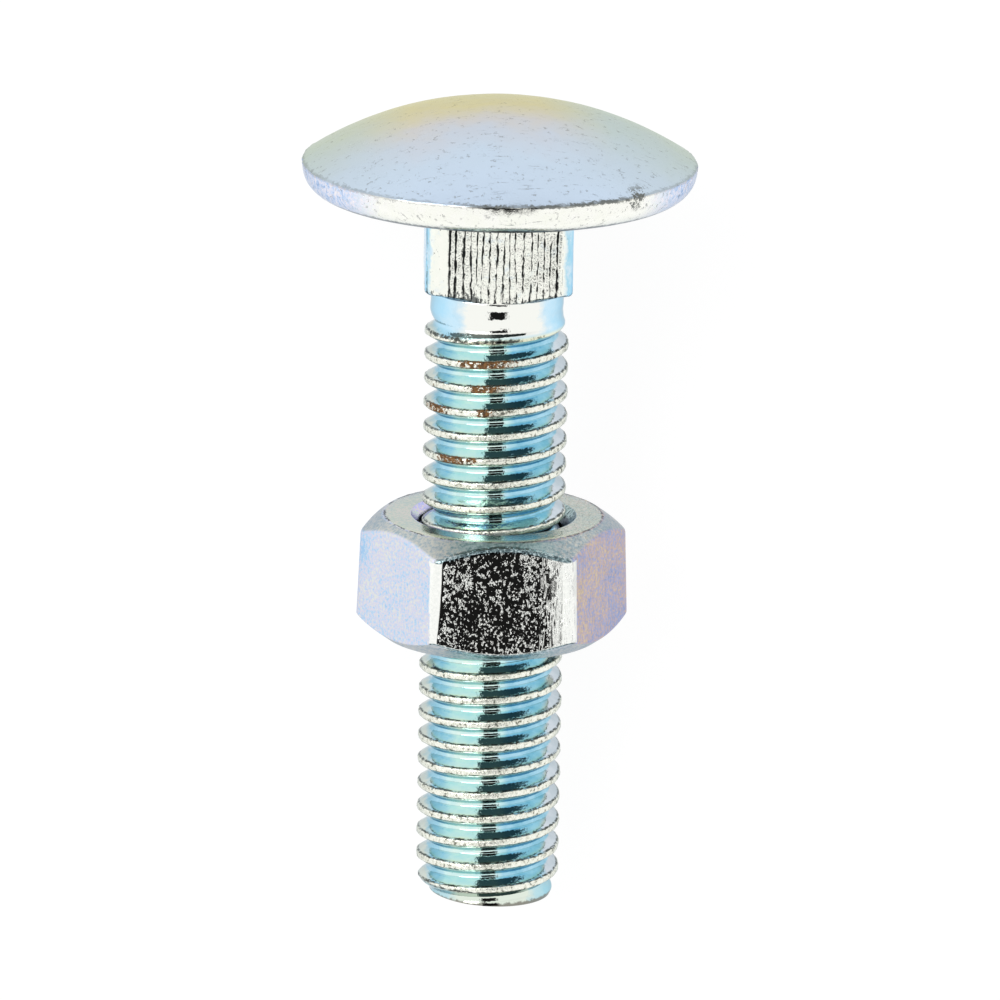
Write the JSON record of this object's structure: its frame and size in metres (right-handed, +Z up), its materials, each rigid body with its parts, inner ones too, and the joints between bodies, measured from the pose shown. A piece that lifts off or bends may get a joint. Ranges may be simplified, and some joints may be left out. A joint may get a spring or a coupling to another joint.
{
  "type": "carriage bolt with hexagon nut",
  "caption": "Carriage bolt with a domed round head, square neck and right-hand metric thread, carrying its hexagon nut; bright zinc-plated steel.",
  "frame": {"origin": "on the ground, under the middle of the lying bolt's length and width", "axes": "+Z up; +Y along the bolt towards its head. The bolt lies on its head's rim and on one flat of the nut, so its own axis rises 9.21 degrees from +Y towards the head"},
  "size_m": [0.0159, 0.0332, 0.0158],
  "materials": {
    "bolt_steel": "bright zinc plate with a pale blue passivate, rolled thread, light wear and specks of rust on the upper thread",
    "nut_steel": "bright zinc plate with a faint iridescent blue and pink passivate, satin sides"
  },
  "bodies": {
    "bolt": {"bolt": "bolt_steel"},
    "nut": {"nut": "nut_steel"}
  },
  "joints": [
    {"name": "nut_travel", "type": "slide", "parent": "bolt", "child": "nut", "axis": [0, 0.9871, 0.1601], "range_m": [-0.011, 0.007]}
  ]
}
